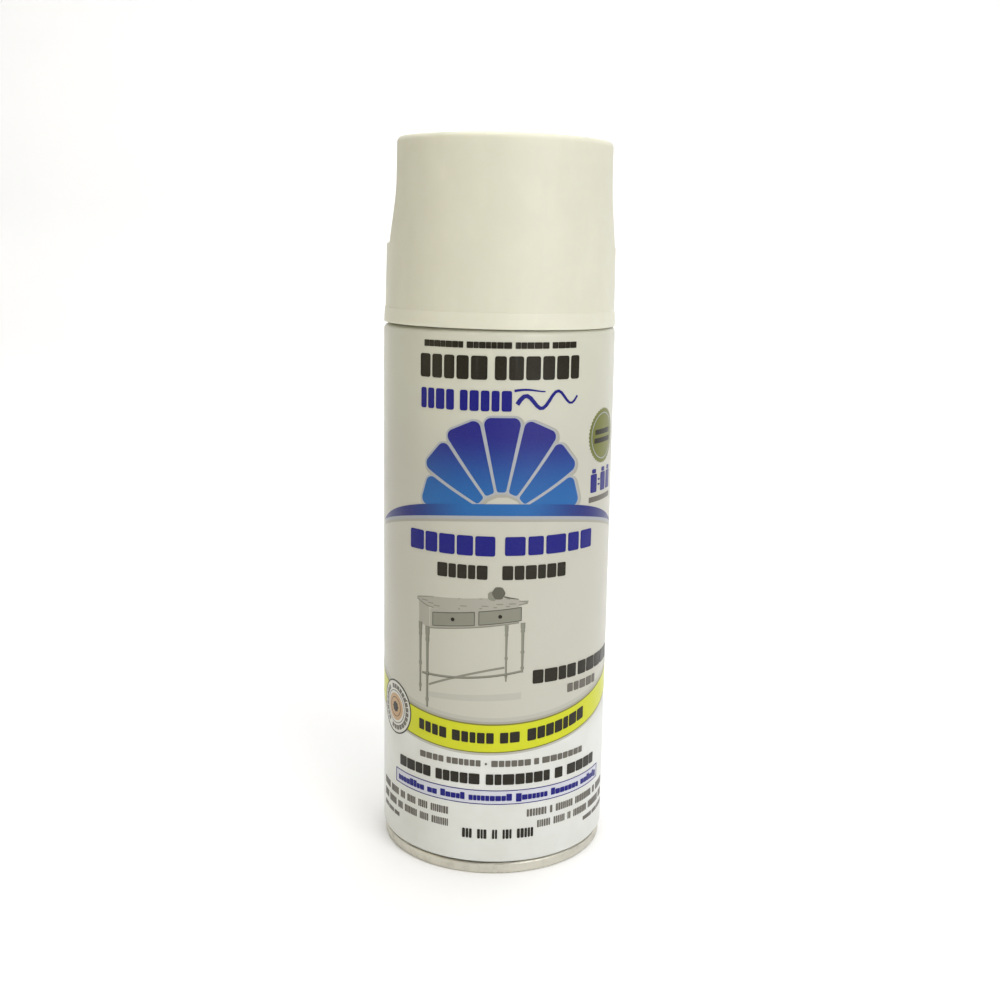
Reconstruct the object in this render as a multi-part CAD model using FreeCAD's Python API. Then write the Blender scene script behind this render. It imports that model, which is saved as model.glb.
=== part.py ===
"""Aerosol spray can, 66 mm three-piece tinplate, with a one-inch valve cup and a snap-on overcap.

Millimetres. +Z is up, and the origin is the centre of the ring that the can stands on.
-Y is the front, where the nozzle points. Sheet-metal parts are revolved from their centre lines,
so each one has its own hems, bends and gauge, and the double seams interlock without touching.
"""

import FreeCAD
import Part
import math
import os

Vector = FreeCAD.Vector

# ---- driving dimensions -------------------------------------------------------------------------
TOTAL_HEIGHT = 202.0
BODY_RADIUS = 33.0  # outside of the printed barrel
BODY_SHEET = 0.20  # tinplate gauge of the barrel
END_SHEET = 0.30  # gauge of the dome and the base
CUP_SHEET = 0.34  # gauge of the valve cup
LAYER_GAP = 0.03  # clearance between neighbouring sheets and fitted parts
FIT_GAP = 0.02  # clearance of parts pushed together by hand or press

SEAM_HEIGHT = 3.1
SEAM_BEND = 0.28  # centre-line radius of the tight U turns inside a seam
SEAM_CORNER = 0.40  # centre-line radius of the seam's outer corners
COMPOUND_SPACE = 0.20  # room for sealing compound at the head of a seam
BASE_SEAM_RADIUS = 32.45
BASE_SEAM_TIP = 0.0
NECK_SEAM_RADIUS = 31.30
NECK_SEAM_TIP = 158.4

CAP_FOOT = 153.0  # lower edge of the overcap
CAP_BAND_TOP = 157.8  # the slightly proud band along the lower edge
CAP_BAND_PROUD = 0.12
CAP_RADIUS = 32.60  # just above the band; the wall drafts in by CAP_DRAFT towards the top
CAP_DRAFT = 0.65
CAP_WALL = 1.05
CAP_TOP_ROUND = 1.8
GRIP_TURN = 2.8  # degrees that the cap's two grip flats are turned from the X axis
GRIP_LEDGE = 175.5  # ledge at the foot of each flat
GRIP_BEND = 188.3  # above this level a flat is nearly upright
GRIP_REACH = (31.3, 29.45, 29.3)  # distance of a flat from the axis: at its ledge, its bend, its top

CURL_RADIUS = 14.2  # centre of the dome's rolled edge, from the can's axis
CURL_LEVEL = 169.5
CURL_BEND = 1.35
CUP_RIM_BEND = 1.92
CUP_FLOOR = 162.6
PEDESTAL_TOP = 173.2

STEM_RADIUS = 1.98
STEM_TOP = 181.0
GASKET_FLOOR = 171.62
GASKET_THICK = 1.2
HOUSING_FLOOR = 158.4
HOUSING_FOOT = 152.5
TAIL_RADIUS = 1.95
CHAMBER_Y = 5.3  # axis of the side chamber, behind the valve's axis
CHAMBER_RADIUS = 1.75
CHECK_BALL_RADIUS = 1.5875
SEAT_HOLE_RADIUS = 0.9
SEAT_TOP = 154.4

BUTTON_FOOT = 168.5
BUTTON_TOP = 190.6
BUTTON_RADIUS = 9.8
SKIRT_RADIUS = 8.6
BOSS_RADIUS = 3.6
NOZZLE_LEVEL = 183.6
NOZZLE_FACE_Y = -8.4
NOZZLE_RADIUS = 2.6

DOME_EDGE = (31.18, 5.2)  # where the base's chuck wall turns into its inward dome
DOME_BREAK = (12.0, 11.2)  # where the cone of that dome blends into its crown
DOME_CROWN_BEND = 70.0
BALL_RADIUS = 7.0
BALL_AZIMUTH = 60.0
PAINT_LEVEL = 134.0
TUBE_RADIUS = 2.7
TUBE_END = (27.0, 10.0)  # how far forward and how high the dip tube ends


# ---- profile helpers ----------------------------------------------------------------------------
def unit(a, b):
    length = math.hypot(b[0] - a[0], b[1] - a[1])
    return (b[0] - a[0]) / length, (b[1] - a[1]) / length


def rounded(points):
    """Edges in the XZ plane through (r, z) or (r, z, bend) points, with an arc at each bend."""
    edges, last = [], points[0][:2]
    for before, corner, after in zip(points, points[1:], points[2:]):
        bend = corner[2] if len(corner) > 2 else 0.0
        ix, iz = unit(before, corner)
        ox, oz = unit(corner, after)
        turn = math.acos(max(-1.0, min(1.0, ix * ox + iz * oz)))
        reach = bend * math.tan(turn / 2)
        if reach < 1e-6:
            edges += straight(last, corner[:2])
            last = corner[:2]
            continue
        start = (corner[0] - ix * reach, corner[1] - iz * reach)
        end = (corner[0] + ox * reach, corner[1] + oz * reach)
        sx, sz = unit(corner, (corner[0] + ox - ix, corner[1] + oz - iz))
        middle_reach = bend / math.cos(turn / 2) - bend
        middle = (corner[0] + sx * middle_reach, corner[1] + sz * middle_reach)
        edges += straight(last, start)
        edges.append(Part.Arc(flat(start), flat(middle), flat(end)).toShape())
        last = end
    return edges + straight(last, points[-1][:2])


def flat(point):
    return Vector(point[0], 0, point[1])


def straight(a, b):
    if math.hypot(b[0] - a[0], b[1] - a[1]) < 1e-6:
        return []
    return [Part.LineSegment(flat(a), flat(b)).toShape()]


def closed_face(points):
    """Face inside a closed outline of (r, z) or (r, z, bend) points. The first point is left sharp."""
    return Part.Face(Part.Wire(rounded(list(points) + [points[0][:2]])))


def revolved(points):
    return turned(closed_face(points))


def turned(face):
    return face.revolve(Vector(0, 0, 0), Vector(0, 0, 1), 360)


def offset_path(points, shift):
    """The path moved sideways by shift, to its left as it runs. Bends keep their centres."""
    moved = []
    for i, point in enumerate(points):
        before = points[i - 1] if i else None
        after = points[i + 1] if i + 1 < len(points) else None
        normals = []
        for a, b in ((before, point), (point, after)):
            if a is not None and b is not None:
                dx, dz = unit(a, b)
                normals.append((-dz, dx))
        if len(normals) == 1:
            nx, nz = normals[0]
            moved.append((point[0] + nx * shift, point[1] + nz * shift))
            continue
        (ax, az), (bx, bz) = normals
        share = 1 + ax * bx + az * bz
        x = point[0] + (ax + bx) * shift / share
        z = point[1] + (az + bz) * shift / share
        turns_left = ax * bz - az * bx > 0
        bend = point[2] if len(point) > 2 else 0.0
        moved.append((x, z, max(bend - shift if turns_left else bend + shift, 0.0)))
    return moved


def sheet_ring(path, gauge):
    """Sheet metal of this gauge whose centre line is the path, revolved about the can's axis."""
    left = offset_path(path, gauge / 2)
    right = offset_path(path, -gauge / 2)
    edges = rounded(left) + straight(left[-1], right[-1])
    edges += rounded(right) + straight(left[0], right[0])
    return turned(Part.Face(Part.Wire(Part.__sortEdges__(edges))))


def cylinder(radius, low, high, x=0.0, y=0.0):
    return Part.makeCylinder(radius, high - low, Vector(x, y, low))


def tube(outer, inner, low, high, x=0.0, y=0.0):
    return cylinder(outer, low, high, x, y).cut(cylinder(inner, low - 1, high + 1, x, y))


def one_solid(shape):
    """The shape with its split faces merged. It has to be a single closed solid."""
    shape = shape.removeSplitter()
    if len(shape.Solids) != 1:
        raise ValueError(f"expected one solid, found {len(shape.Solids)}")
    return shape.Solids[0]


def write(name, shape):
    if not shape.isValid():
        raise ValueError(f"{name} is not a valid shape")
    os.makedirs("parts", exist_ok=True)
    shape.exportStep(f"parts/{name}.step")


# ---- double seams -------------------------------------------------------------------------------
class Seam:
    """Radii and levels of one double seam. Its head is at tip, and side is +1 for the neck, -1 for the base."""

    def __init__(self, radius, tip, side):
        layer = (END_SHEET + BODY_SHEET) / 2 + LAYER_GAP
        self.tip, self.side = tip, side
        self.wall = radius - END_SHEET / 2  # outermost layer, part of the end
        self.hook = self.wall - layer  # the barrel's hook
        self.cover = self.hook - layer  # the end's hook
        self.body = self.cover - layer  # the barrel's wall
        self.chuck = self.body - layer  # innermost layer, part of the end
        self.head = tip - side * END_SHEET / 2
        self.foot = tip - side * (SEAM_HEIGHT - END_SHEET / 2)
        self.body_head = tip - side * (END_SHEET + COMPOUND_SPACE + BODY_SHEET / 2)

    def end_path(self):
        """The end's centre line, from the tip of its hook over the seam to the head of its chuck wall."""
        hook_tip = self.body_head - self.side * (SEAM_BEND + 0.07)
        return [
            (self.cover, hook_tip),
            (self.cover, self.foot, SEAM_BEND),
            (self.wall, self.foot, SEAM_BEND),
            (self.wall, self.head, SEAM_CORNER),
            (self.chuck, self.head, SEAM_CORNER),
        ]

    def barrel_path(self):
        """The barrel's centre line, from the tip of its hook to the head of its wall."""
        hook_tip = self.foot + self.side * (SEAM_BEND + 0.17)
        return [
            (self.hook, hook_tip),
            (self.hook, self.body_head, SEAM_BEND),
            (self.body, self.body_head, SEAM_BEND),
        ]

    def compound(self):
        """Ring of sealing compound between the head of the end and the head of the barrel's hook."""
        half_width = 0.25
        top = self.tip - self.side * (END_SHEET + FIT_GAP)
        low = self.tip - self.side * (END_SHEET + COMPOUND_SPACE - FIT_GAP)
        inner, outer = self.cover - half_width, self.cover + half_width
        return revolved([(inner, low), (outer, low), (outer, top), (inner, top)])


BASE_SEAM = Seam(BASE_SEAM_RADIUS, BASE_SEAM_TIP, -1)
NECK_SEAM = Seam(NECK_SEAM_RADIUS, NECK_SEAM_TIP, 1)


# ---- container ----------------------------------------------------------------------------------
def can_body():
    barrel = BODY_RADIUS - BODY_SHEET / 2
    lower_neck = [(BASE_SEAM.body, 3.25, 0.6), (barrel, 3.95, 0.7)]
    upper_neck = [(barrel, 152.0, 1.3), (NECK_SEAM.body, 153.2, 0.8)]
    path = BASE_SEAM.barrel_path() + lower_neck + upper_neck + NECK_SEAM.barrel_path()[::-1]
    return sheet_ring(path, BODY_SHEET)


def dome_top():
    """Cone-shaped top end: seam, countersink, dome, straight neck and rolled one-inch curl."""
    countersink = 153.75
    panel = 28.6
    neck = CURL_RADIUS - CURL_BEND
    shelf = 166.9
    high, low = CURL_LEVEL + CURL_BEND, CURL_LEVEL - CURL_BEND
    path = NECK_SEAM.end_path() + [
        (NECK_SEAM.chuck, countersink, 0.7),
        (panel, countersink, 0.7),
        (panel, 158.2, 6.0),
        (17.2, shelf, 1.0),
        (neck, shelf, 0.8),
        (neck, high, CURL_BEND),
        (CURL_RADIUS + CURL_BEND, high, CURL_BEND),
        (CURL_RADIUS + CURL_BEND, low, CURL_BEND),
        (CURL_RADIUS - 0.3, low),
    ]
    return sheet_ring(path, END_SHEET)


def base_crown(lift=0.0):
    """Centre line of the base's inward dome, from its edge to the axis, raised square to itself by lift."""
    path = [(*DOME_EDGE, 1.2), (*DOME_BREAK, DOME_CROWN_BEND), (0.0, DOME_BREAK[1])]
    return offset_path(path, -lift) if lift else path


def bottom_end():
    return sheet_ring(BASE_SEAM.end_path() + base_crown(), END_SHEET)


# ---- valve cup and its seals --------------------------------------------------------------------
def mounting_cup():
    """Valve cup: rim over the dome's curl, clinched wall, well, and the crimped pedestal."""
    rim_high = CURL_LEVEL + CUP_RIM_BEND
    wall = CURL_RADIUS - CUP_RIM_BEND
    pedestal = 5.6
    path = [
        (CURL_RADIUS + CUP_RIM_BEND, CURL_LEVEL - 0.8),
        (CURL_RADIUS + CUP_RIM_BEND, rim_high, CUP_RIM_BEND),
        (wall, rim_high, CUP_RIM_BEND),
        (wall, 167.5, 0.5),
        (13.3, 166.2, 0.5),
        (12.0, 164.9, 0.6),
        (12.0, CUP_FLOOR, 1.2),
        (6.5, CUP_FLOOR, 0.9),
        (pedestal, 166.9, 0.5),
        (5.05, 168.0, 0.4),
        (pedestal, 169.1, 0.4),
        (pedestal, PEDESTAL_TOP - CUP_SHEET / 2, 0.5),
        (2.6, PEDESTAL_TOP - CUP_SHEET / 2),
    ]
    return sheet_ring(path, CUP_SHEET)


def cup_gasket():
    """Sleeve gasket between the dome's curl and the valve cup."""
    bend = (CURL_BEND + END_SHEET / 2 + CUP_RIM_BEND - CUP_SHEET / 2) / 2
    thick = CUP_RIM_BEND - CUP_SHEET / 2 - CURL_BEND - END_SHEET / 2 - 2 * FIT_GAP
    path = [
        (CURL_RADIUS + bend, CURL_LEVEL - 0.2),
        (CURL_RADIUS + bend, CURL_LEVEL + bend, bend),
        (CURL_RADIUS - bend, CURL_LEVEL + bend, bend),
        (CURL_RADIUS - bend, 168.0),
    ]
    return sheet_ring(path, thick)


def stem_gasket():
    hole, edge, top = STEM_RADIUS + FIT_GAP, 5.38, GASKET_FLOOR + GASKET_THICK
    return revolved([(hole, GASKET_FLOOR), (edge, GASKET_FLOOR), (edge, top, 0.35), (hole, top)])


# ---- valve --------------------------------------------------------------------------------------
def valve_housing():
    """Housing crimped in the pedestal, with a side chamber whose ball lets the can spray upside down."""
    flange_top = GASKET_FLOOR - FIT_GAP
    passage = 0.9
    outside = revolved(
        [
            (0, 145.5),
            (TAIL_RADIUS - 0.35, 145.5),
            (TAIL_RADIUS, 146.6),
            (TAIL_RADIUS, HOUSING_FOOT),
            (3.4, HOUSING_FOOT, 0.4),
            (3.4, 160.4, 0.5),
            (4.5, 161.4, 0.5),
            (4.5, 169.35),
            (5.38, 169.35, 0.3),
            (5.38, flange_top),
            (0, flange_top),
        ]
    )
    boss_top = 161.2
    boss = cylinder(CHAMBER_RADIUS + 1.0, HOUSING_FOOT, boss_top, y=CHAMBER_Y)
    web = Part.makeBox(3.4, CHAMBER_Y, boss_top - HOUSING_FOOT, Vector(-1.7, 0, HOUSING_FOOT))
    bores = [
        cylinder(3.0, HOUSING_FLOOR, flange_top + 1),
        cylinder(passage, 145, HOUSING_FLOOR + 0.5),
        cylinder(CHAMBER_RADIUS, HOUSING_FOOT - 1, boss_top - 1.0, y=CHAMBER_Y),
        Part.makeCylinder(0.6, CHAMBER_Y, Vector(0, 0, 159.2), Vector(0, 1, 0)),
    ]
    shape = outside.fuse([boss, web])
    for bore in bores:
        shape = shape.cut(bore)
    for angle in (45, 135, 225, 315):  # slots that let the paint past the stem's collar
        slot = Part.makeBox(0.8, 0.9, 11.0, Vector(2.7, -0.45, HOUSING_FLOOR + 0.6))
        slot.rotate(Vector(0, 0, 0), Vector(0, 0, 1), angle)
        shape = shape.cut(slot)
    return one_solid(shape)


def check_seat_plug():
    """Plug pressed into the side chamber's mouth. Its cone is the seat of the check ball."""
    low = HOUSING_FOOT - 0.4
    plug = cylinder(CHAMBER_RADIUS - FIT_GAP, low, SEAT_TOP, y=CHAMBER_Y)
    flange = cylinder(CHAMBER_RADIUS + 0.6, low, HOUSING_FOOT - FIT_GAP, y=CHAMBER_Y)
    hole = cylinder(SEAT_HOLE_RADIUS, low - 1, SEAT_TOP + 1, y=CHAMBER_Y)
    return one_solid(plug.fuse(flange).cut(hole))


def check_ball():
    rise = math.sqrt((CHECK_BALL_RADIUS + FIT_GAP) ** 2 - SEAT_HOLE_RADIUS**2)
    return Part.makeSphere(CHECK_BALL_RADIUS, Vector(0, CHAMBER_Y, SEAT_TOP + rise))


def valve_stem():
    collar_top = GASKET_FLOOR - 2 * FIT_GAP
    shape = revolved(
        [
            (0, 165.0),
            (0.9, 165.0, 0.2),
            (1.3, 165.8, 0.3),
            (1.3, 168.4),
            (2.75, 168.4, 0.3),
            (2.75, collar_top, 0.2),
            (STEM_RADIUS, collar_top),
            (STEM_RADIUS, STEM_TOP, 0.3),
            (0, STEM_TOP),
        ]
    )
    shape = shape.cut(cylinder(1.0, 171.9, STEM_TOP + 1))
    feed = Part.makeCylinder(0.35, 6.0, Vector(-3.0, 0, 172.3), Vector(1, 0, 0))
    return one_solid(shape.cut(feed))


def valve_spring():
    """Return spring of round wire, drawn with a ten-sided section of the round wire's area."""
    wire, sides, coil, turns = 0.227, 10, 2.05, 7
    low = HOUSING_FLOOR + FIT_GAP + wire
    high = 168.4 - FIT_GAP - wire
    path = Part.makeHelix((high - low) / turns, high - low, coil)
    path.translate(Vector(0, 0, low))
    start = path.Edges[0].valueAt(path.Edges[0].FirstParameter)
    along = path.Edges[0].tangentAt(path.Edges[0].FirstParameter)
    out = Vector(1, 0, 0)
    up = along.cross(out)
    corners = []
    for i in range(sides + 1):
        turn = 2 * math.pi * (i % sides) / sides
        corners.append(start + out * (wire * math.cos(turn)) + up * (wire * math.sin(turn)))
    return Part.Wire(path.Edges).makePipeShell([Part.makePolygon(corners)], True, True)


def dip_tube():
    """Straight, one long bend, straight: from the housing's tail to the front corner of the base."""
    inner = TAIL_RADIUS + FIT_GAP
    top, corner, bend = HOUSING_FOOT - 0.2, 95.0, 250.0
    forward, low = TUBE_END
    turn = math.atan2(forward, corner - low)
    reach = bend * math.tan(turn / 2)
    section = Part.Face(
        [
            Part.Wire([Part.makeCircle(TUBE_RADIUS, Vector(0, 0, corner + reach))]),
            Part.Wire([Part.makeCircle(inner, Vector(0, 0, corner + reach))]),
        ]
    )
    section.validate()
    upper = section.extrude(Vector(0, 0, top - corner - reach))
    pivot = Vector(0, -bend, corner + reach)
    curve = section.revolve(pivot, Vector(1, 0, 0), -math.degrees(turn))
    mouth = min(curve.Faces, key=lambda face: face.CenterOfMass.z)
    run = math.hypot(forward, corner - low) - reach
    heading = Vector(0, -math.sin(turn), -math.cos(turn))
    lower = mouth.extrude(heading * run)
    return one_solid(upper.fuse([curve, lower]))


# ---- contents -----------------------------------------------------------------------------------
def ball_centre():
    """Where the mixing ball lies: on the base's cone and against the barrel."""
    out = BODY_RADIUS - BODY_SHEET - BALL_RADIUS - LAYER_GAP
    slope = math.atan2(DOME_BREAK[1] - DOME_EDGE[1], DOME_EDGE[0] - DOME_BREAK[0])
    surface = DOME_EDGE[1] + (DOME_EDGE[0] - out) * math.tan(slope)
    height = surface + (END_SHEET / 2 + BALL_RADIUS + LAYER_GAP) / math.cos(slope)
    azimuth = math.radians(BALL_AZIMUTH)
    return Vector(out * math.cos(azimuth), out * math.sin(azimuth), height)


def mixing_ball():
    return Part.makeSphere(BALL_RADIUS, ball_centre())


def paint_charge(tube_solid):
    """The liquid, up to its fill level, with room left for the dip tube and the ball at rest."""
    wall = BODY_RADIUS - BODY_SHEET - FIT_GAP
    rim, crown, middle = base_crown(END_SHEET / 2 + FIT_GAP)
    slope = (crown[1] - rim[1]) / (rim[0] - crown[0])
    edge = (DOME_EDGE[0], rim[1] + (rim[0] - DOME_EDGE[0]) * slope + FIT_GAP)
    outline = [
        (0.0, middle[1]),
        (0.0, PAINT_LEVEL),
        (wall, PAINT_LEVEL),
        (wall, edge[1]),
        edge,
        crown,
    ]
    liquid = revolved(outline)
    liquid = liquid.cut(tube_solid)
    liquid = liquid.cut(Part.makeSphere(BALL_RADIUS + LAYER_GAP, ball_centre()))
    return max(liquid.Solids, key=lambda s: s.Volume)


# ---- actuator -----------------------------------------------------------------------------------
def actuator_button():
    """Wide finger button: dished pad, flat front for the nozzle, hollow skirt, stem socket and channel."""
    outside = revolved(
        [
            (0, BUTTON_FOOT),
            (SKIRT_RADIUS - 0.1, BUTTON_FOOT, 0.4),
            (SKIRT_RADIUS, 178.5, 4.0),
            (BUTTON_RADIUS, 183.0, 4.0),
            (BUTTON_RADIUS - 0.2, BUTTON_TOP, 1.2),
            (0, BUTTON_TOP),
        ]
    )
    pad_radius, pad_depth = 15.0, 2.1
    pad = Part.makeSphere(pad_radius, Vector(0, 0.8, BUTTON_TOP + pad_radius - pad_depth))
    front = Part.makeBox(30, 10, 30, Vector(-15, NOZZLE_FACE_Y - 10, BUTTON_FOOT + 6.0))
    hollow = revolved(
        [
            (BOSS_RADIUS, BUTTON_FOOT - 1),
            (SKIRT_RADIUS - 1.2, BUTTON_FOOT - 1),
            (SKIRT_RADIUS - 1.2, 180.0),
            (BOSS_RADIUS, 180.0),
        ]
    )
    boss_foot = 175.6
    mouth = cylinder(BOSS_RADIUS + 0.5, BUTTON_FOOT - 1, boss_foot)
    socket = cylinder(STEM_RADIUS + FIT_GAP, 170, STEM_TOP + FIT_GAP)
    lead_in = Part.makeCone(STEM_RADIUS + 0.6, STEM_RADIUS - 0.4, 1.0, Vector(0, 0, boss_foot))
    rise = cylinder(0.9, STEM_TOP - 1, NOZZLE_LEVEL + 0.5)
    forward = Vector(0, -1, 0)
    channel = Part.makeCylinder(0.7, 9.0, Vector(0, 0, NOZZLE_LEVEL), forward)
    seat_back = NOZZLE_FACE_Y + 4.2
    seat = Part.makeCylinder(NOZZLE_RADIUS, 6.0, Vector(0, seat_back, NOZZLE_LEVEL), forward)
    dish_back = Vector(0, NOZZLE_FACE_Y + 1.0, NOZZLE_LEVEL)
    dish = Part.makeCone(NOZZLE_RADIUS - 0.2, NOZZLE_RADIUS + 1.2, 1.4, dish_back, forward)
    shape = outside
    for tool in (pad, front, hollow, mouth, socket, lead_in, rise, channel, seat, dish):
        shape = shape.cut(tool)
    ribs = []
    for angle in (45, 135, 225, 315):
        rib = Part.makeBox(4.4, 0.9, 3.6, Vector(3.3, -0.45, 176.6))
        rib.rotate(Vector(0, 0, 0), Vector(0, 0, 1), angle)
        ribs.append(rib)
    return one_solid(shape.fuse(ribs))


def nozzle_insert():
    """Spray insert: cup with a dished face and the orifice, pushed into the front of the button."""
    forward = Vector(0, -1, 0)
    back = NOZZLE_FACE_Y + 4.2 - FIT_GAP
    face = NOZZLE_FACE_Y + 0.8
    length = back - face

    def round_bar(radius, start, reach):
        return Part.makeCylinder(radius, reach, Vector(0, start, NOZZLE_LEVEL), forward)

    shape = round_bar(NOZZLE_RADIUS - FIT_GAP, back, length)
    shape = shape.cut(round_bar(1.5, back + 1, length - 1.0 + 1))
    shape = shape.cut(round_bar(0.3, back, length + 1))
    cone = Part.makeCone(0.3, 1.3, 0.6, Vector(0, face + 0.5, NOZZLE_LEVEL), forward)
    return one_solid(shape.cut(cone))


# ---- overcap ------------------------------------------------------------------------------------
def grip_cutter(inset, top, edge_round):
    """Bar that cuts one grip flat: a ledge, a wall leaning inwards, then a nearly upright wall."""
    ledge, bend, head = (reach - inset for reach in GRIP_REACH)
    low = GRIP_LEDGE - inset
    outline = [
        (45.0, low),
        (ledge, low, 0.4),
        (bend, GRIP_BEND, 12.0),
        (head, top, edge_round),
        (head - 4.0, top),
        (head - 4.0, top + 4.0),
        (45.0, top + 4.0),
    ]
    wide = 40.0
    bar = closed_face(outline).extrude(Vector(0, wide, 0))
    bar.translate(Vector(0, -wide / 2, 0))
    return bar


def with_grips(shape, inset, top, edge_round):
    for angle in (GRIP_TURN, GRIP_TURN + 180):
        bar = grip_cutter(inset, top, edge_round)
        bar.rotate(Vector(0, 0, 0), Vector(0, 0, 1), angle)
        shape = shape.cut(bar)
    return shape


def overcap():
    """One moulding: shell with two grip flats, a valve collar, webs, stop ribs and a snap bead."""
    band = CAP_RADIUS + CAP_BAND_PROUD
    high = CAP_RADIUS - CAP_DRAFT
    outside = revolved(
        [
            (0, CAP_FOOT),
            (band, CAP_FOOT, 0.35),
            (band, CAP_BAND_TOP, 0.12),
            (CAP_RADIUS, CAP_BAND_TOP + 0.25, 0.12),
            (high, TOTAL_HEIGHT, CAP_TOP_ROUND),
            (26.2, TOTAL_HEIGHT, 0.4),
            (25.6, TOTAL_HEIGHT - 0.5, 0.4),
            (0, TOTAL_HEIGHT - 0.5),
        ]
    )
    ceiling = TOTAL_HEIGHT - 0.5 - CAP_WALL
    inner_low = CAP_RADIUS - CAP_WALL
    inside = revolved(
        [
            (0, CAP_FOOT - 1),
            (inner_low, CAP_FOOT - 1),
            (high - CAP_WALL, ceiling, 0.8),
            (0, ceiling),
        ]
    )
    shell = with_grips(outside, 0.0, TOTAL_HEIGHT, CAP_TOP_ROUND)
    core = with_grips(inside, CAP_WALL, ceiling, 0.7)
    shell = shell.cut(core)
    collar_inner, collar_outer, collar_foot = 16.6, 17.7, 168.6
    collar = tube(collar_outer, collar_inner, collar_foot, ceiling + 0.3)
    web_tall, web_thick = 13.0, 1.0
    stop_low = NECK_SEAM_TIP + 2 * FIT_GAP
    stop_tall = GRIP_LEDGE - 2.5 - stop_low
    ribs = []
    for i in range(4):  # a web from the collar to the shell, and below it a stop that sits on the neck seam
        web_low = Vector(collar_outer - 0.5, -web_thick / 2, ceiling + 0.2 - web_tall)
        web = Part.makeBox(12.6, web_thick, web_tall, web_low)
        stop = Part.makeBox(1.7, web_thick, stop_tall, Vector(30.0, -web_thick / 2, stop_low))
        for rib in (web, stop):
            rib.rotate(Vector(0, 0, 0), Vector(0, 0, 1), GRIP_TURN + 45 + 90 * i)
            ribs.append(rib)
    bead_inner = NECK_SEAM_RADIUS + 2 * LAYER_GAP
    bead = revolved(
        [
            (inner_low + 0.2, CAP_FOOT + 0.9),
            (bead_inner, CAP_FOOT + 1.5),
            (bead_inner, CAP_FOOT + 1.8),
            (inner_low + 0.2, CAP_FOOT + 2.4),
        ]
    )
    return one_solid(shell.fuse([collar, bead] + ribs))


def main():
    tube_solid = dip_tube()
    parts = {
        "can_body": can_body(),
        "dome_top": dome_top(),
        "bottom_end": bottom_end(),
        "neck_seam_compound": NECK_SEAM.compound(),
        "base_seam_compound": BASE_SEAM.compound(),
        "mounting_cup": mounting_cup(),
        "cup_gasket": cup_gasket(),
        "stem_gasket": stem_gasket(),
        "valve_housing": valve_housing(),
        "check_seat_plug": check_seat_plug(),
        "check_ball": check_ball(),
        "valve_spring": valve_spring(),
        "valve_stem": valve_stem(),
        "dip_tube": tube_solid,
        "mixing_ball": mixing_ball(),
        "paint_charge": paint_charge(tube_solid),
        "actuator_button": actuator_button(),
        "nozzle_insert": nozzle_insert(),
        "overcap": overcap(),
    }
    for name, shape in parts.items():
        write(name, shape)
        print(f"{name:20s} {shape.Volume:10.1f} mm3, {len(shape.Solids)} solid, {len(shape.Faces)} faces")


main()
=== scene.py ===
"""Looks of the aerosol spray can: printed tinplate barrel, cream cap, seamed ends, valve and button."""

import math
import random

import bmesh
import bpy
from mathutils import Matrix, Vector


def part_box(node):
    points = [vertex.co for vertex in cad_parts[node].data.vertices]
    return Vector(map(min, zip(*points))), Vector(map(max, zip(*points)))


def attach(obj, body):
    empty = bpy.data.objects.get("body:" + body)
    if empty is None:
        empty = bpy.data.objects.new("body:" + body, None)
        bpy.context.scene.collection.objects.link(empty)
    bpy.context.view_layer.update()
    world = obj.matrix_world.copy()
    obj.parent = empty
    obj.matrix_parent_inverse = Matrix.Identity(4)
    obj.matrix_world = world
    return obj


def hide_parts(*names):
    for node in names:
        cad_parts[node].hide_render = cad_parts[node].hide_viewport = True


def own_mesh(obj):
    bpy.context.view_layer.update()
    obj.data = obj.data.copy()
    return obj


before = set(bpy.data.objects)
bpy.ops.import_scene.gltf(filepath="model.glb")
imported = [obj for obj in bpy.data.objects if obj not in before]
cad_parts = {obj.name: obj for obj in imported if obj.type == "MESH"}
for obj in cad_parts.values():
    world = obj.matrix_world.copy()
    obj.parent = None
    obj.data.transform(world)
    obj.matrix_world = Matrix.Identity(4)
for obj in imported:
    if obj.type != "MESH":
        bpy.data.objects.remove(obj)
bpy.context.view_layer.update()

MM = 0.001
body_low, body_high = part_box("can_body")
cap_low, cap_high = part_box("overcap")
BARREL = (body_high[0] - body_low[0]) / 2 / MM  # outside radius of the printed barrel, mm
CAP_FOOT = cap_low[2] / MM
TOTAL = cap_high[2] / MM


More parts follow.
